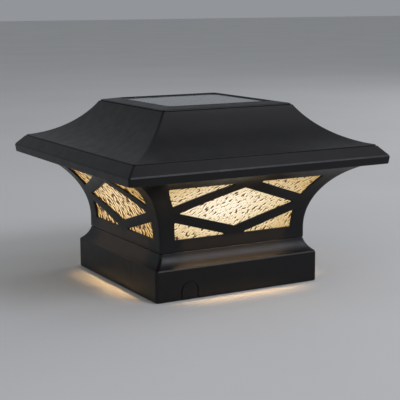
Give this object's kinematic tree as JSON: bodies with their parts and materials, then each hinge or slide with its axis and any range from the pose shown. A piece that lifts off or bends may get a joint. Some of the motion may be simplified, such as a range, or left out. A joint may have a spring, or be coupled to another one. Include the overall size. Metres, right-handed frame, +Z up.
{
  "type": "solar fence post cap",
  "caption": "Square solar lantern cap for a nominal 4x4 wooden fence post: collar, diamond-lattice lantern with textured panes, hipped roof with a solar panel.",
  "frame": {"origin": "centre of the collar mouth, on the plane of its lower rim", "axes": "+Z up along the post, -Y towards the front, the side with the wire knock-out"},
  "size_m": [0.1716, 0.1716, 0.1098],
  "materials": {
    "black_coat": "satin black powder coat",
    "hammered_glass": "hammered, warm lit",
    "steel": "satin",
    "grey_plastic": "matte",
    "white_plastic": "semi-gloss",
    "frosted_plastic": "frosted",
    "rubber": "matte",
    "solar_cell": "satin",
    "solar_glass": "clear, smooth",
    "green_board": "solder mask",
    "white_board": "solder mask",
    "battery_wrap": "shrink wrap",
    "led_yellow": "phosphor dome",
    "black_plastic": "matte",
    "red_wire": "wire insulation",
    "black_wire": "wire insulation"
  },
  "bodies": {
    "lantern": {"base_collar": "black_coat", "seat_plate": "steel", "lantern_frame": "black_coat", "pane_retainer": "grey_plastic", "roof_gasket": "rubber", "pane_front": "hammered_glass", "pane_right": "hammered_glass", "pane_back": "hammered_glass", "pane_left": "hammered_glass", "downlight_lens_front": "frosted_plastic", "downlight_lens_right": "frosted_plastic", "downlight_lens_back": "frosted_plastic", "downlight_lens_left": "frosted_plastic", "post_spacer_front": "grey_plastic", "post_spacer_right": "grey_plastic", "post_spacer_back": "grey_plastic", "post_spacer_left": "grey_plastic", "base_screw_front_right": "steel", "base_screw_back_right": "steel", "base_screw_back_left": "steel", "base_screw_front_left": "steel", "frame_screw_front_right": "steel", "frame_screw_back_right": "steel", "frame_screw_back_left": "steel", "frame_screw_front_left": "steel"},
    "roof": {"roof_shell": "black_coat", "spring_plate": "steel", "battery_contact": "steel", "battery_spring": "steel", "door_pin": "steel", "roof_set_screw_left": "steel", "roof_set_screw_right": "steel", "tray_screw_front_right": "steel", "tray_screw_back_right": "steel", "tray_screw_back_left": "steel", "tray_screw_front_left": "steel", "led_lens": "frosted_plastic", "switch_body": "grey_plastic", "panel_seal": "rubber", "lead_grommet": "rubber", "solar_cell_board": "solar_cell", "solar_glass": "solar_glass", "light_tray": "white_plastic", "battery": "battery_wrap", "led_board": "white_board", "led_1": "led_yellow", "led_2": "led_yellow", "led_3": "led_yellow", "led_4": "led_yellow", "control_board": "green_board", "controller_chip": "black_plastic", "panel_lead_red": "red_wire", "led_lead_red": "red_wire", "battery_lead_red": "red_wire", "panel_lead_black": "black_wire", "led_lead_black": "black_wire", "battery_lead_black": "black_wire"},
    "battery_door": {"battery_door": "white_plastic", "door_screw": "steel"},
    "switch": {"switch_slider": "grey_plastic"}
  },
  "joints": [
    {"name": "roof_lift", "type": "slide", "parent": "lantern", "child": "roof", "axis": [0, 0, 1], "range_m": [0, 0.12]},
    {"name": "battery_door_hinge", "type": "hinge", "parent": "roof", "child": "battery_door", "pos_m": [0, 0.033, 0.075], "axis": [1, 0, 0], "range_deg": [0, 100]},
    {"name": "switch_slide", "type": "slide", "parent": "roof", "child": "switch", "axis": [1, 0, 0], "range_m": [0, 0.003]}
  ]
}
